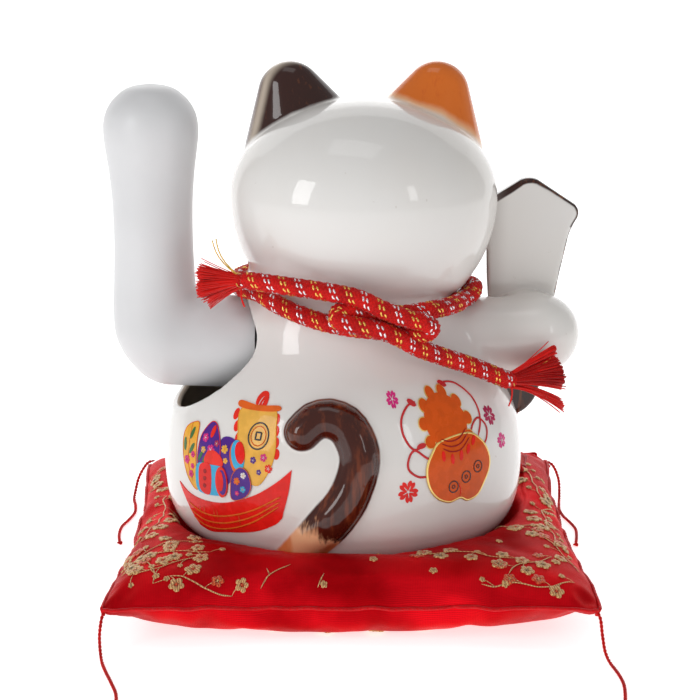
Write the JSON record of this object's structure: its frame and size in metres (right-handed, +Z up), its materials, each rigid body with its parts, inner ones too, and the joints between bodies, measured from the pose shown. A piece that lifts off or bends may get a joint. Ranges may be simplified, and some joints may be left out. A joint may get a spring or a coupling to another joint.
{
  "type": "beckoning cat figurine",
  "caption": "Glazed ceramic beckoning cat with a battery-driven waving arm, a braided collar cord and a plaque, sitting on a red brocade cushion.",
  "frame": {"origin": "middle of the cushion's underside, on the surface it rests on", "axes": "+Z up, the cat faces -Y, +X is the cat's left, the side of the waving arm"},
  "size_m": [0.2763, 0.3514, 0.2849],
  "materials": {
    "red_satin": "satin brocade",
    "wadding": "loose fibre",
    "red_cord": "twisted silk",
    "glazed_white": "gloss glaze",
    "arm_plastic": "satin moulded",
    "base_plastic": "moulded",
    "seal_foam": "foam",
    "foot_rubber": "matt",
    "zinc_steel": "zinc plated",
    "black_plastic": "moulded",
    "cell_jacket": "printed jacket",
    "spring_steel": "bright",
    "red_plastic": "moulded",
    "circuit_green": "solder mask",
    "copper_wire": "enamelled",
    "wire_jacket": "smooth",
    "bronze_bush": "turned",
    "cast_weight": "raw",
    "magnet_plate": "nickel",
    "collar_braid": "braided",
    "gold_thread": "metallic thread",
    "tassel_silk": "silk fibre",
    "bell_brass": "polished"
  },
  "bodies": {
    "cushion": {"cushion_top_panel": "red_satin", "cushion_filling": "wadding", "cushion_bottom_panel": "red_satin", "corner_string_near_left": "red_cord", "corner_string_near_right": "red_cord", "corner_string_far_left": "red_cord", "corner_string_far_right": "red_cord"},
    "cat": {"ceramic_body": "glazed_white", "base_plate": "base_plastic", "base_seal": "seal_foam", "base_feet": "foot_rubber", "base_screws": "zinc_steel", "battery_case": "black_plastic", "batteries": "cell_jacket", "contact_springs": "spring_steel", "contact_plates": "spring_steel", "switch_housing": "black_plastic", "circuit_board": "circuit_green", "board_pillars": "base_plastic", "drive_coil": "copper_wire", "battery_wires": "wire_jacket", "switch_wires": "wire_jacket", "mechanism_frame": "black_plastic", "axle_bushes": "bronze_bush", "collar_cord": "collar_braid", "collar_knot": "collar_braid", "collar_end_left": "collar_braid", "collar_end_right": "collar_braid", "left_binding": "gold_thread", "right_binding": "gold_thread", "left_tassel": "tassel_silk", "right_tassel": "tassel_silk", "bell_loop": "red_cord", "plaque_cord": "red_cord", "plaque_tassel": "tassel_silk"},
    "arm": {"axle": "zinc_steel", "axle_clips": "zinc_steel", "pendulum_bar": "zinc_steel", "counterweight": "cast_weight", "drive_magnet": "magnet_plate", "arm_hub": "arm_plastic", "arm_screws": "zinc_steel", "arm_shell_front": "arm_plastic", "arm_shell_back": "arm_plastic"},
    "battery_door": {"battery_door": "base_plastic"},
    "switch_knob": {"switch_knob": "red_plastic"},
    "bell": {"bell_upper": "bell_brass", "bell_lower": "bell_brass", "bell_pellet": "zinc_steel"}
  },
  "joints": [
    {"name": "cat_lift", "type": "slide", "parent": "cushion", "child": "cat", "axis": [0, 0, 1], "range_m": [0, 0.05]},
    {"name": "arm_wave", "type": "hinge", "parent": "cat", "child": "arm", "pos_m": [0.05, 0, 0.13], "axis": [1, 0, 0], "range_deg": [-15, 20]},
    {"name": "battery_door_slide", "type": "slide", "parent": "cat", "child": "battery_door", "axis": [0, 1, 0], "range_m": [0, 0.012]},
    {"name": "switch_slide", "type": "slide", "parent": "cat", "child": "switch_knob", "axis": [1, 0, 0], "range_m": [0, 0.003]},
    {"name": "bell_swing", "type": "hinge", "parent": "cat", "child": "bell", "pos_m": [-0.001, -0.0699, 0.1547], "axis": [1, 0, 0], "range_deg": [-40, 0]}
  ]
}
